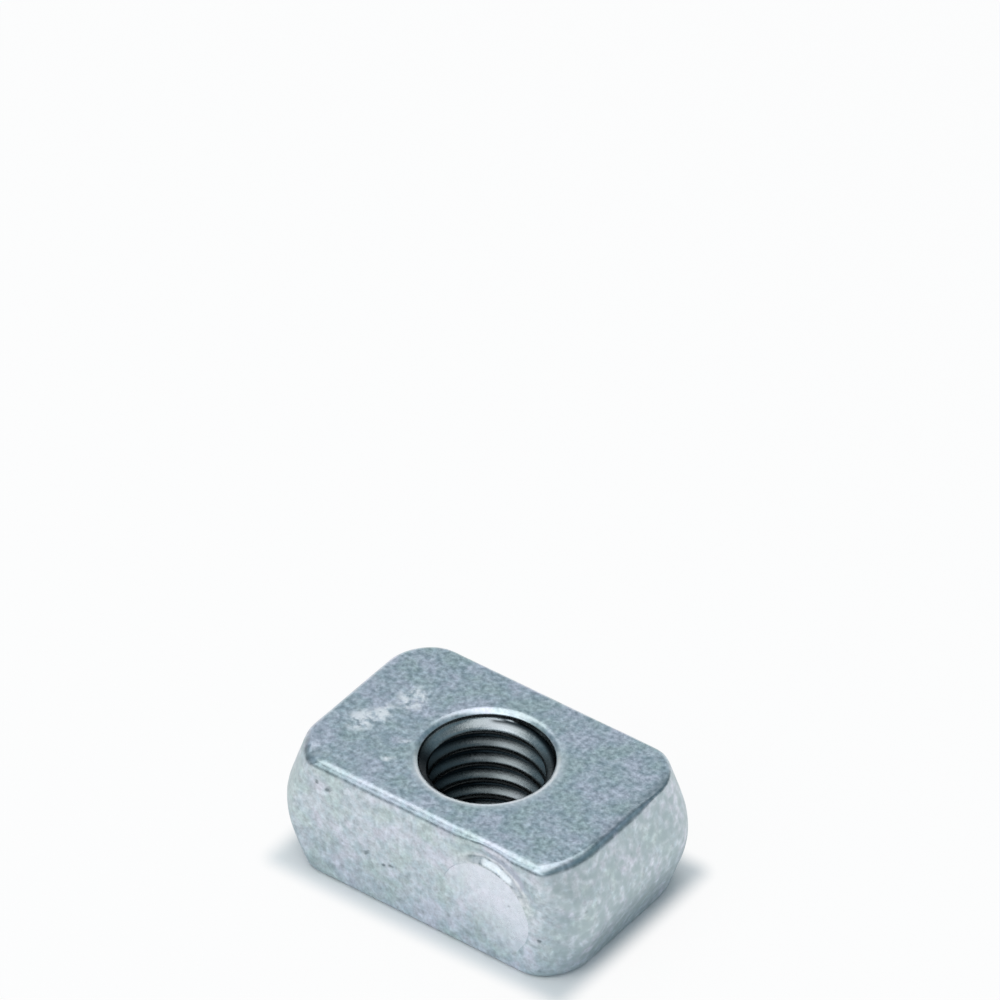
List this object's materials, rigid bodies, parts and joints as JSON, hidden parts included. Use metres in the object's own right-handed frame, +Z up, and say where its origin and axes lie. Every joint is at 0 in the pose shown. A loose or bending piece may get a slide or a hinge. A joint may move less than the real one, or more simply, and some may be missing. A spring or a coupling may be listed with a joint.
{
  "type": "strut wedge nut",
  "caption": "Rectangular strut channel nut with flat sides, barrelled ends, rounded corners and a tapped through hole with countersunk mouths.",
  "frame": {"origin": "centre of the lower face, on the axis of the tapped hole", "axes": "+X along the nut's length, +Y across its width, +Z up along the tapped hole"},
  "size_m": [0.0344, 0.0206, 0.0132],
  "materials": {
    "zinc_plated_steel": "satin zinc plating over forged steel"
  },
  "bodies": {
    "root": {"wedge_nut": "zinc_plated_steel"}
  },
  "joints": []
}
